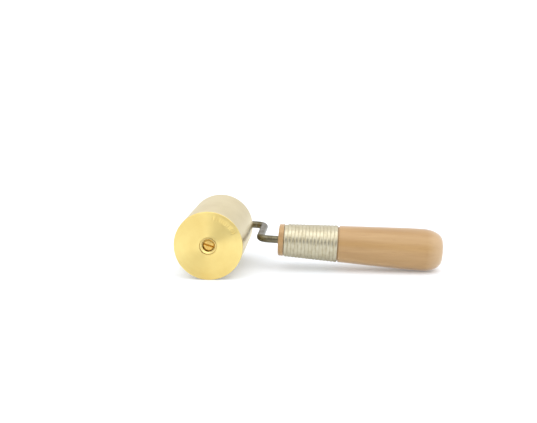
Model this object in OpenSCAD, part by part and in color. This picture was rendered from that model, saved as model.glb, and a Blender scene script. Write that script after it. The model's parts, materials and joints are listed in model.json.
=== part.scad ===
// Hand roller: a solid brass roller on a cranked steel rod with a wire-bound wooden handle.
// It lies on the floor plane z = 0, on the roller and on the butt of the handle.
// +X runs from the roller to the butt, +Y from the roller's front end to its rear end.

/* [Roller] */
// Diameter of the brass roller
roller_d = 40; // [32:1:44]
// Length of the brass roller
roller_l = 60; // [40:1:80]
// Chamfer that breaks the roller's sharp edges
edge_break = 0.4; // [0.2:0.1:1]
// Outside diameter of the two bushes, and of the bore that holds them
bush_d = 10; // [9.5:0.5:12]
// Length of each bush
bush_l = 12; // [8:1:16]
// Number of plain punched strokes on the front face
stroke_count = 12; // [0:1:16]

/* [Rod] */
// Diameter of the steel rod
rod_d = 4.5; // [4.2:0.1:5]
// Radius of each bend, to the middle of the rod
bend_r = 5; // [4.6:0.1:6]
// Distance from the roller's axis to the arm of the crank
crank_reach = 27.1; // [26.5:0.1:30]
// Distance from the roller's rear face to the middle of the rear arm
rear_reach = 9.25; // [9:0.25:12]
// Length of rod driven into the handle
tang_l = 62; // [50:1:75]

/* [Handle] */
// Distance from the roller's axis to the front end of the handle
handle_start = 38.6; // [37:0.1:42]
// Length of the handle
handle_l = 97.2; // [90:0.2:110]
// Diameter of the handle's front end
handle_front_d = 19.1; // [18:0.1:21]
// Growth of the handle's diameter for each millimetre of its straight taper
handle_taper = 0.078; // [0.06:0.001:0.09]
// Diameter of the flat face on the butt
butt_flat_d = 12.6; // [8:0.2:14]

/* [Wire binding] */
// Diameter of the binding wire
wire_d = 2; // [1.8:0.1:2.2]
// Number of turns of wire
wire_turns = 16; // [10:1:20]
// Width of the wooden lip in front of the binding
lip_w = 3.1; // [2.5:0.1:5]

/* [Screw] */
// Diameter of the screw's head
screw_head_d = 6.4; // [6:0.1:6.8]
// Angle of the slot as seen from the front, in degrees
slot_angle = -20; // [-90:5:90]

/* [Hidden] */
$fn = 96;

roller_r = roller_d / 2;
bush_r = bush_d / 2;
rod_r = rod_d / 2;
front_y = -roller_l / 2;
rear_y = roller_l / 2;
fit_gap = 0.02;      // between pieces pressed or screwed together
running_gap = 0.05;  // between the rod and the bushes, on the radius
end_float = 0.15;    // free movement of the roller at each end
fine_edge = 0.25;    // small chamfer on the bush and bore mouths

// punched strokes on the front face
stroke_radius = 15.4;
stroke_l = 2.8;
stroke_w = 0.5;
stroke_depth = 0.2;
stroke_first = 28;   // angle of the first stroke
stroke_step = 4.6;   // angle between strokes

// screw, washer and the recess that they sit in
recess_r = 4.1;
recess_depth = 5.2;
screw_r = 1.5;
screw_l = 10;
thread_pitch = 0.5;
thread_depth = 0.27;
head_h = 2;
head_round = 0.5;
slot_w = 0.8;
slot_depth = 1;
washer_r = 3.8;
washer_t = 0.8;
tapped_depth = 12;
axle_tip_y = front_y + recess_depth - end_float;  // the rod's end stands just proud of the recess floor

// thrust washer and stop collar behind the roller
thrust_t = 1;
thrust_r = 5.5;
thrust_y = rear_y + end_float;
collar_r = 4.25;
collar_y = thrust_y + thrust_t;
rear_arm_y = rear_y + rear_reach;
collar_l = rear_arm_y - bend_r - collar_y;

// tang
tang_end = handle_start + tang_l;
barb_count = 5;
barb_l = 4;
barb_h = 0.4;
tip_l = 3;
mouth_r = 2.9;       // countersink where the rod enters the wood
mouth_depth = 0.8;

// handle outline
handle_front_r = handle_front_d / 2;
taper = handle_taper / 2;
front_round = 0.8;
blend_l = 16;        // length over which the taper fades out
corner_l = 11.5;     // length of the rounded corner at the butt
corner_start = handle_l - corner_l;
blend_start = corner_start - blend_l;
belly_r = handle_front_r + taper * (blend_start + blend_l / 2);
butt_flat_r = butt_flat_d / 2;
corner_h = belly_r - butt_flat_r;
corner_steps = 18;
blend_steps = 6;

// wire binding
wire_r = wire_d / 2;
wire_rise = 0.15;    // how far the binding stands out of the wood
side_gap = 0.05;     // between the binding and each end of its groove
turn_pitch = wire_d * 1.025;
turns_l = wire_turns * turn_pitch;
groove_end = lip_w + turns_l + 2 * side_gap;
rib_steps = 8;
rib_sweep = 75;      // how far round each turn is followed to both sides, in degrees
tail_l = 4;          // length of wire turned down into the wood at each end

// radius of the wooden taper, and of the groove's floor, at a distance from the handle's front end
function taper_r(s) = handle_front_r + taper * s;
function groove_r(s) = taper_r(s) + wire_rise - wire_d;

// distance from the handle's front end to the middle of a turn of wire
function turn_s(i) = lip_w + side_gap + (i + 0.5) * turn_pitch;

// the tilt at which the butt's rounded corner just meets the floor
function floor_tilt(t, n) = n == 0 ? t : floor_tilt(
    asin((roller_r - butt_flat_r * cos(t)
          - sqrt(pow(corner_l * sin(t), 2) + pow(corner_h * cos(t), 2)))
         / (handle_start + corner_start)), n - 1);
tilt = floor_tilt(3, 12);

// extents along X and Y, used to put the origin at the middle of the base
butt_x = (handle_start + corner_start) * cos(tilt) + butt_flat_r * sin(tilt)
         + sqrt(pow(corner_l * cos(tilt), 2) + pow(corner_h * sin(tilt), 2));
centre_x = (butt_x - roller_r) / 2;
centre_y = (rear_arm_y + rod_r + front_y) / 2;

// puts children on the roller's axis at a distance y along it, with their +Z facing the front
module on_axle(y) {
    translate([-centre_x, y - centre_y, roller_r]) rotate([90, 0, 0]) children();
}

// puts children in the tilted plane of the crank: X along the handle, Y along the roller
module in_crank_plane() {
    translate([-centre_x, -centre_y, roller_r]) rotate([0, tilt, 0]) children();
}

// turns an outline of [radius, distance] points about the handle's axis
module turned_on_handle(outline) {
    rotate([0, 90, 0]) rotate_extrude() polygon(outline);
}

// ring of rectangular section with its outer edges chamfered
module chamfered_ring(outer, inner, length, chamfer) {
    rotate_extrude() polygon([
        [inner, 0], [outer - chamfer, 0], [outer, chamfer],
        [outer, length - chamfer], [outer - chamfer, length], [inner, length]]);
}

module roller() {
    color("#e6cf7a") on_axle(rear_y) difference() {
        rotate_extrude() polygon([
            [bush_r + fine_edge, 0], [roller_r - edge_break, 0], [roller_r, edge_break],
            [roller_r, roller_l - edge_break], [roller_r - edge_break, roller_l],
            [bush_r + fine_edge, roller_l], [bush_r, roller_l - fine_edge], [bush_r, fine_edge]]);
        for (i = [0 : stroke_count - 1]) punched_stroke(stroke_first + i * stroke_step);
    }
}

// one plain radial stroke, sunk into the front face
module punched_stroke(angle) {
    rotate([0, 0, angle]) translate([stroke_radius, -stroke_w / 2, roller_l - stroke_depth])
        cube([stroke_l, stroke_w, stroke_depth * 2]);
}

// the front bush holds the recess for the screw's head and washer
module front_bush() {
    color("#d8b65c") on_axle(front_y + bush_l) rotate_extrude() polygon([
        [rod_r + running_gap, 0], [bush_r - fit_gap - fine_edge, 0], [bush_r - fit_gap, fine_edge],
        [bush_r - fit_gap, bush_l - fine_edge], [bush_r - fit_gap - fine_edge, bush_l],
        [recess_r + fine_edge, bush_l], [recess_r, bush_l - fine_edge],
        [recess_r, bush_l - recess_depth], [rod_r + running_gap, bush_l - recess_depth]]);
}

module rear_bush() {
    color("#d8b65c") on_axle(rear_y)
        chamfered_ring(bush_r - fit_gap, rod_r + running_gap, bush_l, fine_edge);
}

// outline of the straight end of the rod that is driven into the wood, barbs and point included
function tang_outline(start, grow) = concat(
    [[0, start], [rod_r + grow, start]],
    [for (i = [0 : barb_count - 1]) for (p = [[rod_r, 0], [rod_r + barb_h, barb_l * 0.9]])
        [p[0] + grow, tang_end - tip_l - (barb_count - i) * barb_l + p[1]]],
    [[rod_r + grow, tang_end - tip_l], [rod_r / 3, tang_end + grow], [0, tang_end + grow]]);

// a quarter bend of the rod about a point in the crank's plane, starting at an angle
module rod_bend(x, y, start) {
    translate([x, y, 0]) rotate([0, 0, start])
        rotate_extrude(angle = 90) translate([bend_r, 0]) circle(rod_r);
}

module crank_rod() {
    axle_l = rear_arm_y - bend_r - axle_tip_y;
    arm_l = rear_arm_y - 2 * bend_r;
    color("#6f6a5c") difference() {
        in_crank_plane() union() {
            translate([0, axle_tip_y, 0]) rotate([-90, 0, 0]) cylinder(r = rod_r, h = axle_l);
            rod_bend(bend_r, rear_arm_y - bend_r, 90);
            translate([bend_r, rear_arm_y, 0]) rotate([0, 90, 0])
                cylinder(r = rod_r, h = crank_reach - 2 * bend_r);
            rod_bend(crank_reach - bend_r, rear_arm_y - bend_r, 0);
            translate([crank_reach, bend_r, 0]) rotate([-90, 0, 0]) cylinder(r = rod_r, h = arm_l);
            rod_bend(crank_reach + bend_r, bend_r, 180);
            turned_on_handle(tang_outline(crank_reach + bend_r, 0));
        }
        on_axle(axle_tip_y + tapped_depth) cylinder(r = screw_r + fit_gap, h = tapped_depth + 1);
    }
}

// slotted brass screw in the end of the rod; its thread is drawn as plain rings
module retaining_screw() {
    rings = floor((screw_l - 1) / thread_pitch);
    thread = [for (i = [0 : rings - 1]) for (p = [[screw_r - thread_depth, 0], [screw_r, 0.5]])
        [p[0], -screw_l + 1 + (i + p[1]) * thread_pitch]];
    dome = [for (a = [0 : 15 : 90])
        [screw_head_d / 2 - head_round + head_round * cos(a), head_h - head_round + head_round * sin(a)]];
    color("#d79a3c") on_axle(axle_tip_y - washer_t) difference() {
        rotate_extrude() polygon(concat(
            [[0, -screw_l], [screw_r - 0.5, -screw_l]], thread,
            [[screw_r - thread_depth, 0], [screw_head_d / 2, 0]], dome, [[0, head_h]]));
        rotate([0, 0, slot_angle]) translate([-screw_head_d, -slot_w / 2, head_h - slot_depth])
            cube([2 * screw_head_d, slot_w, 2 * slot_depth]);
    }
}

// clamped between the screw's head and the rod's end, it keeps the roller on
module retaining_washer() {
    color("#c9b98a") on_axle(axle_tip_y)
        chamfered_ring(washer_r, screw_r + 0.1, washer_t, 0.1);
}

module thrust_washer() {
    color("#c0bcae") on_axle(thrust_y + thrust_t)
        chamfered_ring(thrust_r, rod_r + fit_gap, thrust_t, 0.15);
}

// pressed on to the rod, it stops the roller running back on to the bend
module stop_collar() {
    color("#8d8a80") on_axle(collar_y + collar_l)
        chamfered_ring(collar_r, rod_r + fit_gap, collar_l, 0.3);
}

module handle() {
    front_edge = [for (a = [-90 : 15 : 0])
        [handle_front_r - front_round + front_round * cos(a), front_round + front_round * sin(a)]];
    groove = [[taper_r(lip_w), lip_w], [groove_r(lip_w), lip_w],
              [groove_r(groove_end), groove_end], [taper_r(groove_end), groove_end]];
    blend = [for (i = [0 : blend_steps - 1]) let (t = i / blend_steps)
        [taper_r(blend_start) + taper * blend_l * (t - t * t / 2), blend_start + blend_l * t]];
    corner = [for (i = [0 : corner_steps]) let (a = 90 * i / corner_steps)
        [butt_flat_r + corner_h * cos(a), corner_start + corner_l * sin(a)]];
    color("#d9b27c") in_crank_plane() difference() {
        translate([handle_start, 0, 0])
            turned_on_handle(concat([[0, 0]], front_edge, groove, blend, corner, [[0, handle_l]]));
        turned_on_handle(concat(
            [[0, handle_start - 1], [mouth_r, handle_start - 1],
             [mouth_r, handle_start + mouth_depth / 2]],
            [for (p = tang_outline(handle_start + mouth_depth, fit_gap)) if (p[0] > 0) p],
            [[0, tang_end + fit_gap]]));
        wire_tails(fit_gap);
    }
}

// the two ends of the wire, turned down into holes in the wood
module wire_tails(grow) {
    for (end = [[0, 0], [wire_turns - 1, 180]]) {
        s = turn_s(end[0]);
        translate([handle_start + s, 0, 0]) rotate([end[1], 0, 0])
            translate([0, 0, groove_r(s) - tail_l - grow])
                cylinder(r = wire_r - 2 * fit_gap + grow, h = tail_l + wire_r);
    }
}

// the turns of wire are drawn as one sleeve with a rounded rib for each turn
module wire_binding() {
    base = [for (s = [lip_w + side_gap, groove_end - side_gap]) [groove_r(s) + fit_gap, s]];
    ribs = [for (i = [wire_turns - 1 : -1 : 0]) for (j = [0 : rib_steps])
        let (s = turn_s(i), a = rib_sweep * (1 - 2 * j / rib_steps))
        [groove_r(s) + wire_r + wire_r * cos(a), s + turn_pitch / 2 * sin(a)]];
    color("#cfcab8") in_crank_plane() union() {
        translate([handle_start, 0, 0]) turned_on_handle(concat(base, ribs));
        wire_tails(0);
    }
}

roller();
front_bush();
rear_bush();
crank_rod();
retaining_screw();
retaining_washer();
thrust_washer();
stop_collar();
handle();
wire_binding();
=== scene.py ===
"""Hand roller: a brass roller on a cranked steel rod with a wire-bound beech handle."""

import json
import math

import bmesh
import bpy
from bpy.props import FloatProperty, FloatVectorProperty, IntProperty, PointerProperty
from mathutils import Matrix, Vector, noise


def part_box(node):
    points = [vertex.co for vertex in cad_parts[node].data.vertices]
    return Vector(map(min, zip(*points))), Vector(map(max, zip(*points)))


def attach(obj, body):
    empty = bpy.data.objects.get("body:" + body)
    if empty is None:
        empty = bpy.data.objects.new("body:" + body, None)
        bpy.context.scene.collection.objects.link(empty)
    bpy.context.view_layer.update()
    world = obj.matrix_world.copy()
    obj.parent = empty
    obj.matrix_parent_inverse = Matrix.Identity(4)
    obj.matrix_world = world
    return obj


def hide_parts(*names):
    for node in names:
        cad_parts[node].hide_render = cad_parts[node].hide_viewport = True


bl_info = {
    "name": "Hand Roller",
    "version": (1, 0, 0),
    "blender": (4, 5, 0),
    "location": "3D View > Sidebar > Hand Roller",
    "description": "Builds a brass hand roller with a wire-bound wooden handle",
    "category": "Add Mesh",
}

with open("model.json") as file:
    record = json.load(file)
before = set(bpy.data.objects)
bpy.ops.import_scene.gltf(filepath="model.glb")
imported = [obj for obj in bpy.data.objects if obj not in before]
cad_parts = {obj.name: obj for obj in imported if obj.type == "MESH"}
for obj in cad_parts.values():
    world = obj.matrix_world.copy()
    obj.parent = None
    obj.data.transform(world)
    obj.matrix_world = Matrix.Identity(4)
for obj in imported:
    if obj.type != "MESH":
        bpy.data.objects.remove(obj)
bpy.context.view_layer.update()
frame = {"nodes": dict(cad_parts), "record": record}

MM = 0.001
TURN = 2 * math.pi


# -------- places taken from the frame

def mount(name):
    """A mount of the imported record."""
    return next(m for m in frame["record"]["mounts"] if m["name"] == name)


ROLLER_LOW, ROLLER_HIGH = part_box("roller")
ROLLER_CENTRE = (ROLLER_LOW + ROLLER_HIGH) / 2
ROLLER_RADIUS = (ROLLER_HIGH.x - ROLLER_LOW.x) / 2
HALF_LENGTH = (ROLLER_HIGH.y - ROLLER_LOW.y) / 2

# The axle frame: origin in the middle of the roller, +Z towards its front end, +Y up.
AXLE = Matrix.Translation(ROLLER_CENTRE) @ Matrix.Rotation(math.pi / 2, 4, "X")

# The crank frame: origin on the roller's axis, +Z along the handle, +X to the rear, +Y up.
GRIP_AXIS = Vector(mount("handle_butt")["axis"]).normalized()
REARWARD = Vector((0, 1, 0))
CRANK_ORIGIN = Vector((ROLLER_CENTRE.x, mount("handle_butt")["pos_m"][1], ROLLER_CENTRE.z))
CRANK = Matrix.Translation(CRANK_ORIGIN) @ Matrix(
    (REARWARD, GRIP_AXIS.cross(REARWARD), GRIP_AXIS)).transposed().to_4x4()


def vertices(node, place):
    """Vertices of a CAD node, measured in the frame of a matrix."""
    inverse = place.inverted()
    return [inverse @ vertex.co for vertex in frame["nodes"][node].data.vertices]


def span(node, place):
    """Lowest and highest corners of a CAD node in the frame of a matrix."""
    points = vertices(node, place)
    return [Vector([pick(p[axis] for p in points) for axis in range(3)]) for pick in (min, max)]


def inner_radius(node, place):
    """Radius of the smallest hole through a CAD node about the local Z axis."""
    return min(point.xy.length for point in vertices(node, place))


HANDLE_LOW, HANDLE_HIGH = span("handle", CRANK)
WIRE_LOW, WIRE_HIGH = span("wire_binding", CRANK)
ROD_LOW, ROD_HIGH = span("crank_rod", CRANK)
BUSH_LOW, BUSH_HIGH = span("front_bush", AXLE)
SCREW_LOW, SCREW_HIGH = span("retaining_screw", AXLE)
ROD_RADIUS = -ROD_LOW.z


# -------- colours, nodes and meshes

def linear(text):
    """Linear RGB of an sRGB hex colour."""
    parts = [int(text[i:i + 2], 16) / 255 for i in (0, 2, 4)]
    return tuple(c / 12.92 if c <= 0.04045 else ((c + 0.055) / 1.055) ** 2.4 for c in parts)


def add_node(tree, kind, settings=None, links=None):
    """Adds a node. Settings are its own properties, its stops or its input values; links feed inputs."""
    node = tree.nodes.new(kind)
    for key, value in (settings or {}).items():
        if key == "stops":
            while len(node.color_ramp.elements) < len(value):
                node.color_ramp.elements.new(1)
            for element, (position, colour) in zip(node.color_ramp.elements, value):
                element.position = position
                element.color = (*colour, 1)
        elif isinstance(key, str) and hasattr(node, key):
            setattr(node, key, value)
        else:
            node.inputs[key].default_value = value
    for key, socket in (links or {}).items():
        tree.links.new(socket, node.inputs[key])
    return node


def grey(value):
    """A neutral colour for a ramp that drives a number."""
    return (value, value, value)


# Sockets of a colour Mix node.
MIX_FACTOR, MIX_A, MIX_B, MIX_RESULT = 0, 6, 7, 2


def new_material(name):
    """An empty material: its node tree and its Principled shader."""
    material = bpy.data.materials.new(name)
    material.use_nodes = True
    tree = material.node_tree
    tree.nodes.clear()
    shader = add_node(tree, "ShaderNodeBsdfPrincipled")
    add_node(tree, "ShaderNodeOutputMaterial", None, {"Surface": shader.outputs["BSDF"]})
    return material, tree, shader


def mesh_object(name, bm, place):
    """Turns a bmesh into an object of the scene and frees it."""
    mesh = bpy.data.meshes.new(name)
    bm.to_mesh(mesh)
    bm.free()
    piece = bpy.data.objects.new(name, mesh)
    piece.matrix_world = place
    bpy.context.scene.collection.objects.link(piece)
    return piece


def skin(name, rings, place, loop=False, crease=30):
    """Joins rings of points, or single points at a pole, into one closed smooth mesh object."""
    bm = bmesh.new()
    made = [[bm.verts.new(point) for point in ring] for ring in rings]
    pairs = list(zip(made, made[1:])) + ([(made[-1], made[0])] if loop else [])
    for low, high in pairs:
        for i in range(max(len(low), len(high))):
            corners = [low[i % len(low)], low[(i + 1) % len(low)],
                       high[(i + 1) % len(high)], high[i % len(high)]]
            bm.faces.new(list(dict.fromkeys(corners)))
    bmesh.ops.recalc_face_normals(bm, faces=bm.faces)
    piece = mesh_object(name, bm, place)
    smooth(piece.data, crease)
    return piece


def smooth(mesh, crease):
    """Shades a mesh smooth, but keeps edges sharper than the crease angle in degrees."""
    mesh.shade_smooth()
    mesh.set_sharp_from_angle(angle=math.radians(crease))


def even_angles(count):
    """Evenly spaced angles of a full turn."""
    return [TURN * i / count for i in range(count)]


def circle(radius, height, angles):
    """Points of a circle about local Z, or the single point of a pole."""
    if radius == 0:
        return [Vector((0, 0, height))]
    return [Vector((radius * math.cos(a), radius * math.sin(a), height)) for a in angles]


def arc(centre, radii, start, end, steps):
    """Points (radius, height) of an elliptic arc between two angles in degrees."""
    angles = [math.radians(start + (end - start) * i / steps) for i in range(steps + 1)]
    return [(centre[0] + radii[0] * math.cos(a), centre[1] + radii[1] * math.sin(a)) for a in angles]


def lathe(name, outline, place, count, loop=False):
    """Turns an outline of (radius, height) points about the local Z axis of a matrix."""
    angles = even_angles(count)
    return skin(name, [circle(r, z, angles) for r, z in outline], place, loop)


def finish_piece(piece, body, nodes, material):
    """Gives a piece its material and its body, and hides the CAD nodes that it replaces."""
    if not piece.data.polygons:
        raise RuntimeError(piece.name + " came out empty")
    piece.data.materials.clear()
    piece.data.materials.append(material)
    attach(piece, body)
    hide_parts(*nodes)


def apply_modifiers(piece, crease):
    """Replaces a piece's mesh with the mesh that its modifiers give."""
    bpy.context.view_layer.update()
    evaluated = piece.evaluated_get(bpy.context.evaluated_depsgraph_get())
    mesh = bpy.data.meshes.new_from_object(evaluated)
    piece.modifiers.clear()
    piece.data = mesh
    smooth(mesh, crease)


# -------- materials

def dress(tree, shader, values, links):
    """Sets a shader's uniform values and joins its patterns to it."""
    for key, value in values.items():
        shader.inputs[key].default_value = value
    for key, socket in links.items():
        tree.links.new(socket, shader.inputs[key])


def patched_colour(tree, place, noise_values, stops, colours):
    """Mixes two colours in soft patches. Gives the patches' noise and the mixed colour."""
    patches = add_node(tree, "ShaderNodeTexNoise", noise_values, {"Vector": place}).outputs[0]
    ramp = add_node(tree, "ShaderNodeValToRGB", {"stops": stops}, {"Fac": patches})
    first, second = colours
    tint = add_node(tree, "ShaderNodeMix",
                    {"data_type": "RGBA", MIX_A: (*first, 1), MIX_B: (*second, 1)},
                    {MIX_FACTOR: ramp.outputs[0]})
    return patches, tint.outputs[MIX_RESULT]


def turned_metal(name, colour, dull_colour, roughness, groove, groove_height, anisotropy, lean=0):
    """Metal turned on a lathe and fine-polished. The tool leaves rings, so highlights fan out from the axis,
    and handling leaves the metal slightly duller and warmer in soft patches."""
    material, tree, shader = new_material(name)
    place = add_node(tree, "ShaderNodeTexCoord").outputs["Object"]
    parts = add_node(tree, "ShaderNodeSeparateXYZ", None, {0: place}).outputs
    flat = add_node(tree, "ShaderNodeCombineXYZ", None, {"X": parts["X"], "Y": parts["Y"]})
    radius = add_node(tree, "ShaderNodeVectorMath", {"operation": "LENGTH"}, {0: flat.outputs[0]})
    # rings that depend only on the radius and on the distance along the axis
    ring_place = add_node(tree, "ShaderNodeCombineXYZ", None,
                          {"X": radius.outputs["Value"], "Y": parts["Z"]})
    rings = add_node(tree, "ShaderNodeTexNoise",
                     {"noise_dimensions": "2D", "Scale": 1 / groove, "Detail": 3, "Roughness": 0.6},
                     {"Vector": ring_place.outputs[0]})
    _, tint = patched_colour(tree, place, {"Scale": 1 / (14 * MM), "Detail": 4, "Roughness": 0.55},
                             [(0.42, grey(0)), (0.72, grey(0.6))], (colour, dull_colour))
    gloss = add_node(tree, "ShaderNodeMapRange",
                     {"From Min": 0.3, "From Max": 0.7, "To Min": roughness - 0.04,
                      "To Max": roughness + 0.05}, {"Value": rings.outputs[0]})
    # the tool's fine steps on a face lean outward; too fine to draw one by one, they are one slope
    slope = add_node(tree, "ShaderNodeMath", {"operation": "MULTIPLY", 1: -math.tan(lean)},
                     {0: radius.outputs["Value"]})
    height = add_node(tree, "ShaderNodeMath", {"operation": "MULTIPLY_ADD", 1: groove_height},
                      {0: rings.outputs[0], 2: slope.outputs[0]})
    bump = add_node(tree, "ShaderNodeBump", {"Strength": 1.0, "Distance": 1.0}, {"Height": height.outputs[0]})
    tangent = add_node(tree, "ShaderNodeTangent", {"direction_type": "RADIAL", "axis": "Z"})
    dress(tree, shader, {"Metallic": 1, "Anisotropic": anisotropy, "Anisotropic Rotation": 0.25},
          {"Base Color": tint, "Roughness": gloss.outputs[0], "Normal": bump.outputs[0],
           "Tangent": tangent.outputs[0]})
    return material


def drawn_metal(name, stretch, line_width, line_depth, noise_values, stops, colours, dullness):
    """Metal drawn through a die: long faint lines, and patches of a second colour that are duller too."""
    material, tree, shader = new_material(name)
    place = add_node(tree, "ShaderNodeTexCoord").outputs["Object"]
    stretched = add_node(tree, "ShaderNodeMapping", {"Scale": stretch}, {"Vector": place})
    lines = add_node(tree, "ShaderNodeTexNoise", {"Scale": 1 / line_width, "Detail": 3, "Roughness": 0.6},
                     {"Vector": stretched.outputs[0]})
    patches, tint = patched_colour(tree, place, noise_values, stops, colours)
    gloss = add_node(tree, "ShaderNodeMapRange",
                     {"From Min": 0.3, "From Max": 0.7, "To Min": dullness[0], "To Max": dullness[1]},
                     {"Value": patches})
    bump = add_node(tree, "ShaderNodeBump", {"Strength": 1.0, "Distance": line_depth},
                    {"Height": lines.outputs[0]})
    dress(tree, shader, {"Metallic": 1},
          {"Base Color": tint, "Roughness": gloss.outputs[0], "Normal": bump.outputs[0]})
    return material


def drawn_steel(settings):
    """Mild steel rod, drawn, bent cold and left oiled. It is dark olive grey, with long faint die lines
    and browner patches where oil and handling have stained it."""
    # the rod runs along both X and Z in the crank's plane, so the lines are fine across Y only
    return drawn_metal("oiled_drawn_steel", (0.12, 1, 0.12), 0.35 * MM, 0.02 * MM,
                       {"Scale": 1 / (3 * MM), "Detail": 5, "Roughness": 0.65},
                       [(0.35, grey(0)), (0.7, grey(1))],
                       (settings.steel_colour, settings.stain_colour), (0.24, 0.42))


def tinned_wire(settings):
    """Soft iron wire with a bright tin coating. It mirrors its surroundings softly, is slightly yellow-grey,
    and has faint draw lines round the handle and small dull spots where the turns rubbed."""
    return drawn_metal("bright_tinned_wire", (0.15, 0.15, 1), 0.4 * MM, 0.003 * MM,
                       {"Scale": 1 / (2.5 * MM), "Detail": 4, "Roughness": 0.6},
                       [(0.4, grey(0)), (0.75, grey(0.8))],
                       (settings.tin_colour, settings.dull_colour), (0.32, 0.42))


def turned_beech(settings):
    """Beech, turned, sanded and lightly waxed. Pale pinkish tan with soft lengthwise growth figure and the
    short dark ray flecks of the wood, matt with a slight wax sheen."""
    material, tree, shader = new_material("waxed_turned_beech")
    place = add_node(tree, "ShaderNodeTexCoord").outputs["Object"]
    # growth figure: broad bands about 5 mm apart, drawn out along the handle
    figure_place = add_node(tree, "ShaderNodeMapping", {"Scale": (1, 1, 0.07), "Location": (0.004, 0.011, 0)},
                            {"Vector": place})
    figure = add_node(tree, "ShaderNodeTexNoise",
                      {"Scale": 1 / (6 * MM), "Detail": 4, "Roughness": 0.5, "Distortion": 0.6},
                      {"Vector": figure_place.outputs[0]})
    # fine lengthwise grain about 0.5 mm wide
    grain_place = add_node(tree, "ShaderNodeMapping", {"Scale": (1, 1, 0.045)}, {"Vector": place})
    grain = add_node(tree, "ShaderNodeTexNoise", {"Scale": 1 / (0.7 * MM), "Detail": 4, "Roughness": 0.6},
                     {"Vector": grain_place.outputs[0]})
    # ray flecks about 0.4 mm wide and 2.5 mm long
    fleck_place = add_node(tree, "ShaderNodeMapping", {"Scale": (1, 1, 0.16)}, {"Vector": place})
    flecks = add_node(tree, "ShaderNodeTexVoronoi", {"Scale": 1 / (1.1 * MM), "Randomness": 1},
                      {"Vector": fleck_place.outputs[0]})
    fleck_ramp = add_node(tree, "ShaderNodeValToRGB", {"stops": [(0.1, grey(0.25)), (0.25, grey(0))]},
                          {"Fac": flecks.outputs["Distance"]})
    figure_ramp = add_node(tree, "ShaderNodeValToRGB",
                           {"stops": [(0.3, settings.wood_light), (0.52, settings.wood_colour),
                                      (0.72, settings.wood_dark)]},
                           {"Fac": figure.outputs[0]})
    grain_ramp = add_node(tree, "ShaderNodeValToRGB", {"stops": [(0.3, grey(0)), (0.75, grey(0.35))]},
                          {"Fac": grain.outputs[0]})
    with_grain = add_node(tree, "ShaderNodeMix", {"data_type": "RGBA", MIX_B: (*settings.wood_dark, 1)},
                          {MIX_FACTOR: grain_ramp.outputs[0], MIX_A: figure_ramp.outputs[0]})
    with_flecks = add_node(tree, "ShaderNodeMix", {"data_type": "RGBA", MIX_B: (*settings.fleck_colour, 1)},
                           {MIX_FACTOR: fleck_ramp.outputs[0], MIX_A: with_grain.outputs[MIX_RESULT]})
    # towards the butt the colour turns paler over the rounded corner: partly the chalkier sanded end grain,
    # partly a painted sheen of light grazing the rounding
    along = add_node(tree, "ShaderNodeSeparateXYZ", None, {0: place}).outputs["Z"]
    end_place = add_node(tree, "ShaderNodeMapRange",
                         {"From Min": HANDLE_HIGH.z - 10 * MM, "From Max": HANDLE_HIGH.z - 1 * MM,
                          "To Min": 0, "To Max": 0.8}, {"Value": along})
    with_end = add_node(tree, "ShaderNodeMix", {"data_type": "RGBA", MIX_B: (*settings.butt_grain_and_sheen_colour, 1)},
                        {MIX_FACTOR: end_place.outputs[0], MIX_A: with_flecks.outputs[MIX_RESULT]})
    gloss = add_node(tree, "ShaderNodeMapRange",
                     {"From Min": 0.3, "From Max": 0.7, "To Min": 0.42, "To Max": 0.56},
                     {"Value": grain.outputs[0]})
    bump = add_node(tree, "ShaderNodeBump", {"Strength": 1.0, "Distance": 0.02 * MM},
                    {"Height": grain.outputs[0]})
    dress(tree, shader, {"IOR": 1.5, "Coat Weight": 0.5, "Coat Roughness": 0.3, "Sheen Weight": 1,
                         "Sheen Roughness": 0.3},
          {"Base Color": with_end.outputs[MIX_RESULT], "Roughness": gloss.outputs[0],
           "Normal": bump.outputs[0]})
    return material


def plain_floor(settings):
    """Matt white studio board. A little light of its own keeps it evenly white outside the shadows."""
    material, tree, shader = new_material("white_studio_board")
    place = add_node(tree, "ShaderNodeTexCoord").outputs["Object"]
    mottle = add_node(tree, "ShaderNodeTexNoise", {"Scale": 1 / (120 * MM), "Detail": 2}, {"Vector": place})
    darker = [c * 0.99 for c in settings.floor_colour]
    ramp = add_node(tree, "ShaderNodeValToRGB", {"stops": [(0.3, settings.floor_colour), (0.7, darker)]},
                    {"Fac": mottle.outputs[0]})
    dress(tree, shader, {"Roughness": 0.9, "Specular IOR Level": 0.1, "Emission Color": (1, 1, 1, 1),
                         "Emission Strength": settings.floor_glow}, {"Base Color": ramp.outputs[0]})
    return material


# -------- settings

def length(name, description, millimetres):
    """A length property with a default in millimetres."""
    return FloatProperty(name=name, description=description, default=millimetres * MM, unit="LENGTH",
                         subtype="DISTANCE", precision=5)


def colour(name, description, text):
    """A colour property with an sRGB hex default."""
    return FloatVectorProperty(name=name, description=description, default=linear(text), size=3,
                               subtype="COLOR", min=0, max=1)


def degrees(name, description, value):
    """An angle property with a default in degrees."""
    return FloatProperty(name=name, description=description, default=math.radians(value), subtype="ANGLE",
                         unit="ROTATION")


def number(name, description, value, high, low=0):
    """A plain number property with its range."""
    return FloatProperty(name=name, description=description, default=value, min=low, max=high, precision=4)


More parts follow.
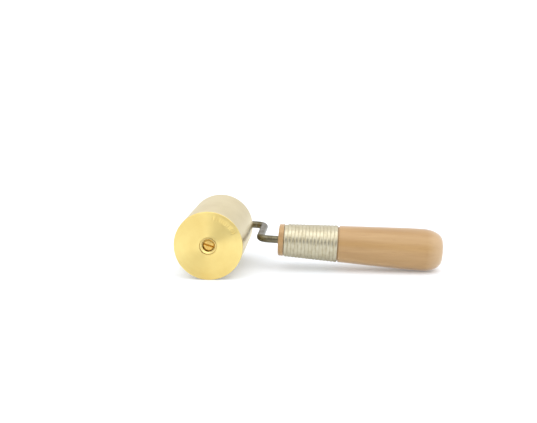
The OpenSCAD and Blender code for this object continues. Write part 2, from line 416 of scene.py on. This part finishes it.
class HandRollerRoller(bpy.types.PropertyGroup):
    """Roller, bushes and screw."""
    edge_rounding: length("Edge rounding", "Radius of the roller's broken edges", 0.5)
    crown: length("Crown", "How far polishing has lowered the rim of the front face", 0.3)
    tool_lean: degrees("Tool lean", "Outward lean of the facing tool's fine steps", 9)
    stroke_count: IntProperty(name="Strokes", description="Plain punched strokes on the front face",
                              default=12, min=0, max=16)
    stroke_first: degrees("First stroke", "Angle of the first stroke from the horizontal", 28)
    stroke_step: degrees("Stroke step", "Angle between strokes", 4.6)
    stroke_start: length("Stroke start", "Distance of a stroke's inner end from the axis", 15.4)
    stroke_length: length("Stroke length", "Length of a stroke", 2.8)
    stroke_width: length("Stroke width", "Width of a stroke", 0.5)
    stroke_depth: length("Stroke depth", "Depth of a stroke", 0.2)
    recess_radius: length("Recess radius", "Radius of the recess round the screw's head", 4.1)
    recess_depth: length("Recess depth", "Depth of that recess", 5.2)
    head_height: length("Head height", "Height of the screw's head", 2)
    shank_radius: length("Shank radius", "Radius of the screw's thread", 1.5)
    slot_width: length("Slot width", "Width of the screw's slot", 1.1)
    slot_depth: length("Slot depth", "Depth of the screw's slot", 1)
    slot_angle: degrees("Slot angle", "Angle of the slot from the horizontal", -18)
    brass_colour: colour("Brass", "Colour of the turned roller", "F6DE90")
    brass_dull: colour("Dull brass", "Colour of its duller patches", "EACC7C")
    # the side's colour is a paler, greyer copy of the brass: a painted reflection of the grey studio seen at
    # grazing angles, not a different finish
    side_painted_reflection: colour("Side", "Colour of the roller's side", "DFD2AC")
    side_painted_reflection_dull: colour("Dull side, painted reflection", "Colour of its duller patches, toned as painted reflection", "D2C39A")
    bush_colour: colour("Bush", "Colour of the bushes", "E0CA86")
    screw_colour: colour("Screw", "Colour of the screw", "DDB868")
    screw_dull: colour("Worn screw", "Colour of the screw's worn patches", "CCA050")


class HandRollerRod(bpy.types.PropertyGroup):
    """Cranked rod, collar and washers."""
    bend_radius: length("Bend radius", "Radius of the bends to the middle of the rod", 5)
    reach: length("Reach", "Distance from the roller's axis to the long arm", 27.1)
    flattening: number("Flattening", "How much the rod flattens in its bends", 0.05, 0.2)
    tap_radius: length("Tapped hole", "Radius of the hole for the screw", 1.52)
    tap_depth: length("Tap depth", "Depth of that hole", 12)
    barb_count: IntProperty(name="Barbs", description="Barbs cut on the tang", default=5, min=0, max=8)
    barb_length: length("Barb length", "Length of one barb", 4)
    barb_height: length("Barb height", "How far a barb stands out", 0.4)
    point_length: length("Point length", "Length of the tang's point", 3)
    steel_colour: colour("Steel", "Colour of the oiled rod", "7E7864")
    stain_colour: colour("Stain", "Colour of its stained patches", "5C543E")
    washer_colour: colour("Washer", "Colour of the washer and the collar", "B4B1A6")


class HandRollerHandle(bpy.types.PropertyGroup):
    """Turned handle."""
    front_radius: length("Front radius", "Radius of the taper at its front end", 9.55)
    taper: number("Taper", "Growth of the radius over the length", 0.039, 0.045, 0.03)
    front_rounding: length("Front rounding", "Radius of the front edge", 0.8)
    lip_width: length("Lip width", "Width of the wooden lip in front of the binding", 3.1)
    groove_end: length("Groove end", "Distance from the front end to the rear end of the groove", 36)
    corner_length: length("Corner length", "Length of the rounded corner at the butt", 11.5)
    blend_length: length("Blend length", "Length over which the taper fades out", 16)
    flat_radius: length("Flat radius", "Radius of the flat on the butt", 6.3)
    mouth_radius: length("Mouth radius", "Radius of the hole's countersink", 2.9)
    unevenness: length("Unevenness", "How far hand sanding moved the surface", 0.05)
    wood_colour: colour("Wood", "Main colour of the wood", "B28C58")
    wood_light: colour("Light wood", "Colour of its lighter figure", "BD9865")
    wood_dark: colour("Dark wood", "Colour of its darker figure", "A67F4B")
    fleck_colour: colour("Flecks", "Colour of the ray flecks", "9C7444")
    # paler colour over the butt's rounded corner: partly sanded end grain, partly painted sheen
    butt_grain_and_sheen_colour: colour("End grain and painted sheen", "Colour of the butt's sanded end grain and painted sheen", "C8AA84")


class HandRollerBinding(bpy.types.PropertyGroup):
    """Wire binding."""
    turns: number("Turns", "Turns of wire", 14.5, 30, 4)
    thickness: length("Thickness", "Thickness of the wire, which is rolled rather flat", 1)
    rear_gap: length("Rear gap", "Gap between the last turn and the rear end of the groove", 0.5)
    step: number("Step", "How much of each turn's advance is kept to the rear", 0.9, 0.95)
    wire_rise: length("Rise", "How far the binding stands out of the wood", 0.15)
    tail_length: length("Tail", "Length of wire turned down into the wood", 4)
    tuck_radius: length("Tuck radius", "Radius of the bend where the wire turns down", 1.3)
    unevenness: length("Unevenness", "How far a turn strays from its place", 0.06)
    tin_colour: colour("Tin", "Colour of the tinned wire", "C8C1A9")
    dull_colour: colour("Dull tin", "Colour of its duller spots", "B2A789")


class HandRollerStage(bpy.types.PropertyGroup):
    """Floor, lights and camera."""
    floor_colour: colour("Floor", "Colour of the floor", "E7EBF1")
    floor_glow: number("Floor glow", "Light given off by the floor", 0.16, 1)
    world_light: number("Studio light", "Brightness of the white studio", 2.4, 10)
    box_light: number("Softbox", "Power of the overhead softbox in watts", 2.6, 50)
    azimuth: degrees("Azimuth", "Camera's turn to the right of the front", 4.4993)
    elevation: degrees("Elevation", "Camera's height above the horizon", 10.6402)
    roll: degrees("Roll", "Camera's roll", -0.27)
    distance: length("Distance", "Camera's distance from its target", 503.13)
    target_shift: length("Target shift", "Target's distance from the object's middle, along X", -25.557)
    target_height: length("Target height", "Target's height above the floor", 34.889)
    target_depth: length("Target depth", "Target's distance behind the object's middle", -5.75)
    lens: FloatProperty(name="Lens", description="Focal length on a 36 mm sensor", default=56.281,
                        unit="CAMERA")


class HandRollerSettings(bpy.types.PropertyGroup):
    """All settings of the hand roller."""
    roller: PointerProperty(type=HandRollerRoller)
    rod: PointerProperty(type=HandRollerRod)
    handle: PointerProperty(type=HandRollerHandle)
    binding: PointerProperty(type=HandRollerBinding)
    stage: PointerProperty(type=HandRollerStage)


# -------- roller, bushes and screw

def roller_rings(settings):
    """Rings of the roller, from its rear face over its side to its front face and back through its bore."""
    bore = BUSH_HIGH.x + 0.02 * MM
    chamfer = 0.25 * MM
    rounding = settings.edge_rounding
    support = 0.3 * MM  # from a rounded edge to the next ring of points
    run_out = 0.4 * MM  # over which a stroke rises at its ends
    inner, outer = settings.stroke_start, settings.stroke_start + settings.stroke_length
    rim = ROLLER_RADIUS - rounding
    end = HALF_LENGTH
    crown = settings.crown

    def face(r):
        return (r, end - crown * (r / ROLLER_RADIUS) ** 2)

    outline = [(bore, chamfer - end), (bore + chamfer, -end), (0.5 * ROLLER_RADIUS, -end),
               (rim - support, -end)]
    outline += arc((rim, rounding - end), (rounding, rounding), -90, 0, 6)
    outline += [(ROLLER_RADIUS, rounding + support - end), (ROLLER_RADIUS, 0),
                (ROLLER_RADIUS, end - crown - rounding - support)]
    outline += arc((rim, end - crown - rounding), (rounding, rounding), 0, 88, 6)
    outline += [face(r) for r in (rim - support, outer, outer - run_out, inner + run_out, inner)]
    outline += [face(inner + (bore + chamfer - inner) * i / 6) for i in range(1, 7)]
    outline.append((bore, end - chamfer))
    centres = [settings.stroke_first + i * settings.stroke_step for i in range(settings.stroke_count)]
    # a stroke is three lines of points, and the even points too near them are left out
    half = settings.stroke_width / (inner + outer)
    lines = [centre + side * half for centre in centres for side in (-1, 0, 1)]
    clear = 0.4 * half
    angles = [a for a in even_angles(240) if all(abs(a - line) > clear for line in lines)]
    angles = sorted(angles + lines)
    rings = [circle(r, z, angles) for r, z in outline]
    sunk = [i for i, a in enumerate(angles) if a in centres]
    for (r, z), ring in zip(outline, rings):
        if z > 0 and inner < r < outer:
            for i in sunk:
                ring[i].z -= settings.stroke_depth
    return rings


def turned_ring(name, node, rounding, count=96):
    """A ring at a CAD node's own sizes, with rounded outer edges and slightly broken inner ones."""
    corner_low, corner_high = span(node, AXLE)
    low, high, outer = corner_low.z, corner_high.z, corner_high.x
    inner = inner_radius(node, AXLE)
    broken = 0.6 * rounding
    outline = [(inner, low + broken), (inner + broken, low), (outer - 1.4 * rounding, low)]
    outline += arc((outer - rounding, low + rounding), (rounding, rounding), -90, 0, 4)
    outline += arc((outer - rounding, high - rounding), (rounding, rounding), 0, 90, 4)
    outline += [(outer - 1.4 * rounding, high), (inner + broken, high), (inner, high - broken)]
    return lathe(name, outline, AXLE, count, loop=True)


def front_bush_outline(settings):
    """Closed outline of the front bush: seam, countersink, and the recess for the screw's head."""
    outer, high, low = BUSH_HIGH.x, BUSH_HIGH.z, BUSH_LOW.z
    bore = inner_radius("front_bush", AXLE)
    recess = settings.recess_radius
    floor = high - settings.recess_depth
    edge = 0.22 * MM
    throat = SCREW_HIGH.x + 0.22 * MM
    countersink = recess + 0.1 * MM - throat
    seam, seam_depth = 0.3 * MM, 0.9 * MM
    outline = [(bore, low), (outer - edge, low), (outer, low + edge), (outer, high - seam_depth),
               (outer - seam, high - seam_depth)]
    outline += arc((outer - seam - edge, high - edge), (edge, edge), 0, 90, 4)
    outline += [(throat + countersink, high), (throat, high - countersink), (throat, SCREW_HIGH.z - 0.8 * MM),
                (recess, SCREW_HIGH.z - 1.2 * MM), (recess, floor), (bore, floor)]
    return outline


def screw_outline(settings):
    """Outline of the screw from its tip to the top of its slightly domed head."""
    head_base = SCREW_HIGH.z - settings.head_height
    head_radius = SCREW_HIGH.x
    shank, tip = settings.shank_radius, SCREW_LOW.z
    pitch, depth = 0.5 * MM, 0.27 * MM
    outline = [(0, tip), (shank - pitch, tip), (shank - depth, tip + pitch)]
    thread_start = tip + 2 * pitch
    for i in range(int((head_base - thread_start) / pitch)):
        outline += [(shank - depth, thread_start + i * pitch), (shank, thread_start + (i + 0.5) * pitch)]
    rounding = 0.45 * MM
    dome = 0.12 * MM
    shoulder = SCREW_HIGH.z - dome - rounding
    outline += [(shank - depth, head_base), (head_radius - 0.15 * MM, head_base),
                (head_radius, head_base + 0.15 * MM)]
    outline += arc((head_radius - rounding, shoulder), (rounding, rounding), 0, 78, 5)
    crown = head_radius - 1.3 * rounding
    outline += [(crown * t, SCREW_HIGH.z - dome * t * t) for t in (0.9, 0.6, 0.3)] + [(0, SCREW_HIGH.z)]
    return outline


def cut_slot(screw, settings):
    """Cuts the worn, V-shaped driver slot across the head and softens its edges."""
    reach = 2 * SCREW_HIGH.x
    bm = bmesh.new()
    bmesh.ops.create_cube(bm, size=math.sqrt(2))
    bmesh.ops.rotate(bm, matrix=Matrix.Rotation(math.pi / 4, 3, "X"), verts=bm.verts)
    bmesh.ops.scale(bm, vec=(reach, settings.slot_width / 2, settings.slot_depth), verts=bm.verts)
    head_top = AXLE @ Matrix.Translation((0, 0, SCREW_HIGH.z))
    cutter = mesh_object("slot_cutter", bm, head_top @ Matrix.Rotation(settings.slot_angle, 4, "Z"))
    boolean = screw.modifiers.new("slot", "BOOLEAN")
    boolean.operation = "DIFFERENCE"
    boolean.solver = "EXACT"
    boolean.object = cutter
    bevel = screw.modifiers.new("worn edges", "BEVEL")
    bevel.width = 0.07 * MM
    bevel.segments = 2
    bevel.limit_method = "ANGLE"
    bevel.angle_limit = math.radians(50)
    apply_modifiers(screw, 30)
    bpy.data.objects.remove(cutter)


# -------- rod

def rod_route(settings):
    """Centres, directions and bending of the rod from its tip to its point, in the crank frame."""
    bend, reach = settings.bend_radius, settings.reach
    rear = ROD_HIGH.x - ROD_RADIUS
    tip, point = ROD_LOW.x, ROD_HIGH.z
    route = []

    def straight(start, end, steps):
        way = Vector(end) - Vector(start)
        for i in range(steps):
            route.append((Vector(start) + way * (i / steps), way.normalized(), 0))

    def curve(centre, start, turn):
        steps = 14
        for i in range(steps):
            a = math.radians(start + turn * i / steps)
            radial = Vector((math.cos(a), 0, math.sin(a)))
            way = Vector((-math.sin(a), 0, math.cos(a))) * (1 if turn > 0 else -1)
            route.append((Vector(centre) + radial * bend, way, math.sin(math.pi * i / steps)))

    straight((tip + 0.2 * MM, 0, 0), (rear - bend, 0, 0), 24)
    curve((rear - bend, 0, bend), -90, 90)
    straight((rear, 0, bend), (rear, 0, reach - bend), 8)
    curve((rear - bend, 0, reach - bend), 0, 90)
    straight((rear - bend, 0, reach), (bend, 0, reach), 14)
    curve((bend, 0, reach + bend), -90, -90)
    barbs_start = point - settings.point_length - settings.barb_count * settings.barb_length
    straight((0, 0, reach + bend), (0, 0, barbs_start), 20)
    return route, barbs_start


def rod_rings(settings, count=40):
    """Rings of the rod: tapped hole, axle, crank and barbed tang."""
    route, barbs_start = rod_route(settings)
    angles = even_angles(count)

    def station(centre, way, radius, bending=0):
        up = Vector((0, 1, 0))
        side = up.cross(way)
        squeeze = 1 - settings.flattening * bending
        swell = 1 + 0.4 * settings.flattening * bending
        return [centre + side * (radius * squeeze * math.cos(a)) + up * (radius * swell * math.sin(a))
                for a in angles]

    rear = Vector((1, 0, 0))
    tip = Vector((ROD_LOW.x, 0, 0))
    bottom = tip + rear * settings.tap_depth
    rings = [[bottom], station(bottom, rear, settings.tap_radius), station(tip, rear, settings.tap_radius),
             station(tip, rear, ROD_RADIUS - 0.2 * MM)]
    # the axle is ground true, and the rest is as uneven as drawing and bending leave it
    axle_end, crank_start = 34 * MM, 10 * MM
    for centre, way, bending in route:
        rough = centre.x > axle_end or centre.z > crank_start
        wobble = 1 + 0.006 * noise.noise(centre * 90) if rough else 1
        rings.append(station(centre, way, ROD_RADIUS * wobble, bending))
    along = Vector((0, 0, 1))
    for i in range(settings.barb_count):
        start = barbs_start + i * settings.barb_length
        rings.append(station(along * start, along, ROD_RADIUS))
        rings.append(station(along * (start + 0.9 * settings.barb_length), along,
                             ROD_RADIUS + settings.barb_height))
    rings.append(station(along * (ROD_HIGH.z - settings.point_length), along, ROD_RADIUS))
    rings.append(station(along * ROD_HIGH.z, along, ROD_RADIUS / 3))
    rings.append([along * ROD_HIGH.z])
    return rings


# -------- handle and binding

def taper_radius(settings, s):
    """Radius of the wooden taper at a distance from the handle's front end."""
    return settings.front_radius + settings.taper * s


def handle_outline(settings, groove_depth):
    """Outline of the handle from the bottom of the tang's hole to the middle of the butt."""
    front, end = HANDLE_LOW.z, HANDLE_HIGH.z
    total = end - front
    rounding, edge = settings.front_rounding, 0.12 * MM
    hole = ROD_RADIUS + 0.02 * MM
    barb = ROD_HIGH.y + 0.02 * MM
    tang_end = ROD_HIGH.z + 0.02 * MM
    barbed = 24 * MM
    outline = [(0, tang_end), (barb, tang_end), (barb, tang_end - barbed), (hole, tang_end - barbed - 1 * MM),
               (hole, front + 0.8 * MM), (settings.mouth_radius, front + 0.4 * MM),
               (settings.mouth_radius, front), (settings.front_radius - 1.6 * rounding, front)]
    outline += arc((settings.front_radius - rounding, front + rounding), (rounding, rounding), -90, 0, 7)
    lip, groove_end = settings.lip_width, settings.groove_end

    def taper_point(s, sink=0):
        return (taper_radius(settings, s) - sink, front + s)

    outline += [taper_point(1.4 * rounding), taper_point(lip - edge), taper_point(lip, edge),
                taper_point(lip, groove_depth), taper_point(groove_end, groove_depth),
                taper_point(groove_end, edge), taper_point(groove_end + edge)]
    corner_start = total - settings.corner_length
    blend_start = corner_start - settings.blend_length
    steps = 9
    outline += [taper_point(groove_end + 4 * edge + (blend_start - groove_end - 4 * edge) * i / steps)
                for i in range(steps)]
    belly = HANDLE_HIGH.x
    gain = belly - taper_radius(settings, blend_start)
    for i in range(8):
        t = i / 8
        outline.append((taper_radius(settings, blend_start) + gain * (2 * t - t * t), front + blend_start
                        + settings.blend_length * t))
    flat = settings.flat_radius
    corner = arc((flat, front + corner_start), (belly - flat, settings.corner_length), 0, 90, 20)
    return outline + corner + [(0.6 * flat, end), (0, end)]


def handle_rings(settings, groove_depth, count=144):
    """Rings of the handle, with the slight unevenness of hand sanding outside."""
    angles = even_angles(count)
    front = HANDLE_LOW.z
    rings = []
    for r, z in handle_outline(settings, groove_depth):
        ring = circle(r, z, angles)
        if r > settings.flat_radius and z > front + settings.groove_end + 1 * MM:
            for point in ring:
                shift = settings.unevenness * (noise.noise(point * 60) - 0.5)
                point.xy *= 1 + shift / r
        rings.append(ring)
    return rings


def wire_route(handle, binding, half_width):
    """Centre line of the wire: a tail, the turns from the front to the rear of the groove, and a tail."""
    first = WIRE_LOW.z + half_width
    last = WIRE_HIGH.z - half_width - binding.rear_gap

    def advance(turn):
        """Turns of pitch gained: little in front, and most of each turn's share at the rear."""
        return turn + binding.step / TURN * (math.cos(TURN * turn) - 1)

    steps_per_turn = 56
    count = int(binding.turns * steps_per_turn)
    start = math.pi / 2
    tuck = binding.tuck_radius

    def point(turn, radius_change=0, tangent=0):
        z = first + (last - first) * advance(turn) / advance(binding.turns)
        s = z - HANDLE_LOW.z
        radius = taper_radius(handle, s) + binding.wire_rise - binding.thickness / 2 + radius_change
        a = start + TURN * turn
        radial = Vector((math.cos(a), math.sin(a), 0))
        way = Vector((-math.sin(a), math.cos(a), 0))
        return radial * radius + way * tangent + Vector((0, 0, z))

    def tail(turn, sign):
        deep = [point(turn, -tuck - binding.tail_length * (1 - i / 4)) for i in range(4)]
        bend = []
        for i in range(8):
            a = math.radians(90 * i / 8)
            bend.append(point(turn, tuck * (math.sin(a) - 1), sign * tuck * (1 - math.cos(a))))
        return deep + bend

    lead = tuck / (TURN * binding_radius(handle, binding))
    turns = []
    for i in range(count + 1):
        turn = lead + (binding.turns - 2 * lead) * i / count
        centre = point(turn)
        slow = noise.noise(Vector((turn * 0.9, 3.7, 0.2)))
        stray = slow + 0.5 * noise.noise(Vector((turn * 2.3, 9.1, 4.4)))
        fade = min(1, turn / 1.2, (binding.turns - turn) / 1.2)
        centre.z += binding.unevenness * stray * fade
        turns.append(centre)
    return tail(0, 1) + turns + tail(binding.turns, -1)[::-1]


def binding_radius(handle, binding):
    """Mean radius of the binding's turns."""
    middle = (WIRE_LOW.z + WIRE_HIGH.z) / 2 - HANDLE_LOW.z
    return taper_radius(handle, middle) + binding.wire_rise


def tube_rings(route, half_width, half_thickness, count=16):
    """Rings of an oval tube along a route, its width kept along the handle as far as the route allows."""
    angles = even_angles(count)
    rings = [[route[0]]]
    along = Vector((0, 0, 1))
    for i, centre in enumerate(route):
        way = (route[min(i + 1, len(route) - 1)] - route[max(i - 1, 0)]).normalized()
        side = (along - way * along.dot(way)).normalized()
        up = way.cross(side)
        rings.append([centre + side * (half_width * math.cos(a)) + up * (half_thickness * math.sin(a))
                      for a in angles])
    rings.append([route[-1]])
    return rings


# -------- operators

class HANDROLLER_OT_roller(bpy.types.Operator):
    """Build the turned brass roller"""
    bl_idname = "hand_roller.roller"
    bl_label = "Roller"

    def execute(self, context):
        settings = context.scene.hand_roller.roller
        brass = turned_metal("turned_roller_brass", settings.brass_colour, settings.brass_dull, 0.4,
                             0.8 * MM, 0.0012 * MM, 0.95, settings.tool_lean)
        # painted reflection: the side is given a paler, greyer copy of the brass for the grey studio it
        # mirrors at grazing angles
        side = turned_metal("side_brass_painted_reflection", settings.side_painted_reflection, settings.side_painted_reflection_dull, 0.34,
                            0.8 * MM, 0.0015 * MM, 0.7)
        roller = skin("brass_roller", roller_rings(settings), AXLE, loop=True)
        finish_piece(roller, "roller_drum", ["roller"], brass)
        roller.data.materials.append(side)
        for polygon in roller.data.polygons:
            if abs(polygon.normal.z) < 0.5 and polygon.center.xy.length > 0.9 * ROLLER_RADIUS:
                polygon.material_index = 1
        return {"FINISHED"}


class HANDROLLER_OT_bushes(bpy.types.Operator):
    """Build the two brass bushes"""
    bl_idname = "hand_roller.bushes"
    bl_label = "Bushes"

    def execute(self, context):
        settings = context.scene.hand_roller.roller
        brass = turned_metal("turned_bush_brass", settings.bush_colour, settings.brass_dull, 0.3,
                             0.5 * MM, 0.004 * MM, 0.5)
        front = lathe("front_bush_lip", front_bush_outline(settings), AXLE, 96, loop=True)
        finish_piece(front, "roller_drum", ["front_bush"], brass)
        rear = turned_ring("rear_bush_ring", "rear_bush", 0.25 * MM)
        finish_piece(rear, "roller_drum", ["rear_bush"], brass)
        return {"FINISHED"}


class HANDROLLER_OT_screw(bpy.types.Operator):
    """Build the slotted screw and the washer under its head"""
    bl_idname = "hand_roller.screw"
    bl_label = "Screw and washer"

    def execute(self, context):
        settings = context.scene.hand_roller.roller
        gold = turned_metal("worn_screw_brass", settings.screw_colour, settings.screw_dull, 0.26,
                            0.4 * MM, 0.004 * MM, 0.4)
        screw = lathe("slotted_screw", screw_outline(settings), AXLE, 72)
        cut_slot(screw, settings)
        if len(screw.data.polygons) < 100:
            raise RuntimeError("the slot cut left no screw")
        finish_piece(screw, "grip", ["retaining_screw"], gold)
        brass = turned_metal("stamped_washer_brass", settings.bush_colour, settings.brass_dull, 0.34,
                             0.5 * MM, 0.004 * MM, 0.2)
        washer = turned_ring("head_washer", "retaining_washer", 0.12 * MM, 72)
        finish_piece(washer, "grip", ["retaining_washer"], brass)
        return {"FINISHED"}


class HANDROLLER_OT_rod(bpy.types.Operator):
    """Build the cranked rod, the thrust washer and the stop collar"""
    bl_idname = "hand_roller.rod"
    bl_label = "Rod, washer and collar"

    def execute(self, context):
        settings = context.scene.hand_roller.rod
        rod = skin("cranked_rod", rod_rings(settings), CRANK)
        finish_piece(rod, "grip", ["crank_rod"], drawn_steel(settings))
        steel = turned_metal("turned_washer_steel", settings.washer_colour, settings.steel_colour, 0.36,
                             0.5 * MM, 0.004 * MM, 0.4)
        for name, node, rounding in (("thrust_ring", "thrust_washer", 0.15 * MM),
                                     ("rod_collar", "stop_collar", 0.35 * MM)):
            finish_piece(turned_ring(name, node, rounding), "grip", [node], steel)
        return {"FINISHED"}


class HANDROLLER_OT_handle(bpy.types.Operator):
    """Build the turned wooden handle"""
    bl_idname = "hand_roller.handle"
    bl_label = "Handle"

    def execute(self, context):
        settings, binding = context.scene.hand_roller.handle, context.scene.hand_roller.binding
        groove_depth = binding.thickness - binding.wire_rise
        handle = skin("beech_handle", handle_rings(settings, groove_depth), CRANK)
        finish_piece(handle, "grip", ["handle"], turned_beech(settings))
        return {"FINISHED"}


class HANDROLLER_OT_binding(bpy.types.Operator):
    """Wind the wire round the front of the handle"""
    bl_idname = "hand_roller.binding"
    bl_label = "Wire binding"

    def execute(self, context):
        handle, binding = context.scene.hand_roller.handle, context.scene.hand_roller.binding
        pitch = (WIRE_HIGH.z - WIRE_LOW.z - binding.rear_gap) / (int(binding.turns) + 1)
        # the turns press into each other a little, so no gap shows
        half_width = 0.545 * pitch
        route = wire_route(handle, binding, half_width)
        wire = skin("wound_wire", tube_rings(route, half_width, binding.thickness / 2), CRANK, crease=60)
        finish_piece(wire, "grip", ["wire_binding"], tinned_wire(binding))
        return {"FINISHED"}


class HANDROLLER_OT_stage(bpy.types.Operator):
    """Set up the floor, the studio light and the camera"""
    bl_idname = "hand_roller.stage"
    bl_label = "Stage"

    def execute(self, context):
        settings = context.scene.hand_roller.stage
        scene = context.scene
        scene.view_settings.view_transform = "Standard"
        build_floor(settings)
        build_world(scene, settings)
        build_softbox(settings)
        build_camera(scene, settings)
        return {"FINISHED"}


def build_floor(settings):
    """A wide matt board under the object, 6 m across."""
    half_side = 3
    bm = bmesh.new()
    bmesh.ops.create_grid(bm, x_segments=8, y_segments=8, size=half_side)
    floor = mesh_object("floor", bm, Matrix())
    floor.data.materials.append(plain_floor(settings))


def build_world(scene, settings):
    """A pale studio: brightest overhead, greyer towards the horizon, with a dark curtain in front."""
    world = bpy.data.worlds.new("white_studio")
    world.use_nodes = True
    tree = world.node_tree
    tree.nodes.clear()
    direction = add_node(tree, "ShaderNodeTexCoord").outputs["Generated"]
    parts = add_node(tree, "ShaderNodeSeparateXYZ", None, {0: direction}).outputs
    # the sweep: 0 is the horizon in front, 0.5 overhead and 1 the horizon behind
    forward = add_node(tree, "ShaderNodeMath", {"operation": "MULTIPLY", 1: -1}, {0: parts["Y"]})
    sweep = add_node(tree, "ShaderNodeMath", {"operation": "ARCTAN2"}, {0: parts["Z"], 1: forward.outputs[0]})
    place = add_node(tree, "ShaderNodeMapRange", {"From Min": 0, "From Max": math.pi},
                     {"Value": sweep.outputs[0]})
    # one dark strip hangs just behind the brightest part
    tones = ((0.0, "ACACAC"), (0.2, "BCBCBC"), (0.52, "E2E2E2"), (0.56, "767678"), (0.61, "CACACA"),
             (0.76, "C4C4C4"), (0.87, "A8A8AA"), (1.0, "A2A2A4"))
    backdrop = add_node(tree, "ShaderNodeValToRGB", {"stops": [(stop, linear(tone)) for stop, tone in tones]},
                        {"Fac": place.outputs[0]})
    # the dark curtain, in front, a little to the right and above the horizon
    dark_way = Vector((0.22, -1, 0.22)).normalized()
    towards = add_node(tree, "ShaderNodeVectorMath", {"operation": "DOT_PRODUCT", 1: dark_way},
                       {0: direction})
    shade = add_node(tree, "ShaderNodeMapRange",
                     {"From Min": 0.86, "From Max": 0.97, "To Min": 0, "To Max": 1},
                     {"Value": towards.outputs["Value"]})
    with_curtain = add_node(tree, "ShaderNodeMix", {"data_type": "RGBA", MIX_B: (*linear("202020"), 1)},
                            {MIX_FACTOR: shade.outputs[0], MIX_A: backdrop.outputs[0]})
    # the camera itself sees plain white behind the object
    seen = add_node(tree, "ShaderNodeLightPath").outputs["Is Camera Ray"]
    with_white = add_node(tree, "ShaderNodeMix", {"data_type": "RGBA", MIX_B: (1.2, 1.2, 1.2, 1)},
                          {MIX_FACTOR: seen, MIX_A: with_curtain.outputs[MIX_RESULT]})
    background = add_node(tree, "ShaderNodeBackground", {"Strength": settings.world_light},
                          {"Color": with_white.outputs[MIX_RESULT]})
    add_node(tree, "ShaderNodeOutputWorld", None, {"Surface": background.outputs[0]})
    scene.world = world


def build_softbox(settings):
    """One broad soft light overhead, in front of the object and facing it."""
    place = Vector((0.2, -0.42, 0.85))
    data = bpy.data.lights.new("softbox", "AREA")
    data.shape = "RECTANGLE"
    data.size = 1.6
    data.size_y = 1.0
    data.energy = settings.box_light
    lamp = bpy.data.objects.new("softbox", data)
    lamp.location = place
    lamp.rotation_euler = place.to_track_quat("Z", "Y").to_euler()
    lamp.visible_camera = False
    bpy.context.scene.collection.objects.link(lamp)


def build_camera(scene, settings):
    """The camera looks slightly down on the front of the object."""
    data = bpy.data.cameras.new("camera")
    data.sensor_width = 36
    data.lens = settings.lens
    data.clip_start = 0.01
    data.clip_end = 20
    camera = bpy.data.objects.new("camera", data)
    target = Vector((settings.target_shift, settings.target_depth, settings.target_height))
    azimuth = Matrix.Rotation(settings.azimuth, 4, "Z")
    elevation = Matrix.Rotation(math.pi / 2 - settings.elevation, 4, "X")
    roll = Matrix.Rotation(settings.roll, 4, "Z")
    camera.matrix_world = (Matrix.Translation(target) @ azimuth @ elevation @ roll
                           @ Matrix.Translation((0, 0, settings.distance)))
    scene.collection.objects.link(camera)
    scene.camera = camera


BUILD_ORDER = (HANDROLLER_OT_roller, HANDROLLER_OT_bushes, HANDROLLER_OT_screw, HANDROLLER_OT_rod,
               HANDROLLER_OT_handle, HANDROLLER_OT_binding, HANDROLLER_OT_stage)


class HANDROLLER_PT_panel(bpy.types.Panel):
    """Buttons and settings of the hand roller"""
    bl_idname = "HANDROLLER_PT_panel"
    bl_label = "Hand Roller"
    bl_space_type = "VIEW_3D"
    bl_region_type = "UI"
    bl_category = "Hand Roller"

    def draw(self, context):
        layout = self.layout
        for operator in BUILD_ORDER:
            layout.operator(operator.bl_idname)
        for group_name in ("roller", "rod", "handle", "binding", "stage"):
            group = getattr(context.scene.hand_roller, group_name)
            box = layout.box()
            box.label(text=group_name.capitalize())
            for key in group.__annotations__:
                box.prop(group, key)


CLASSES = (HandRollerRoller, HandRollerRod, HandRollerHandle, HandRollerBinding, HandRollerStage,
           HandRollerSettings) + BUILD_ORDER + (HANDROLLER_PT_panel,)


def register():
    """Registers the settings, the operators and the panel."""
    for each in CLASSES:
        bpy.utils.register_class(each)
    bpy.types.Scene.hand_roller = PointerProperty(type=HandRollerSettings)


def unregister():
    """Removes what register() added."""
    del bpy.types.Scene.hand_roller
    for each in reversed(CLASSES):
        bpy.utils.unregister_class(each)


def main():
    register()
    for operator in BUILD_ORDER:
        group, name = operator.bl_idname.split(".")
        getattr(getattr(bpy.ops, group), name)()
    bpy.context.view_layer.update()


if __name__ == "__main__":
    main()
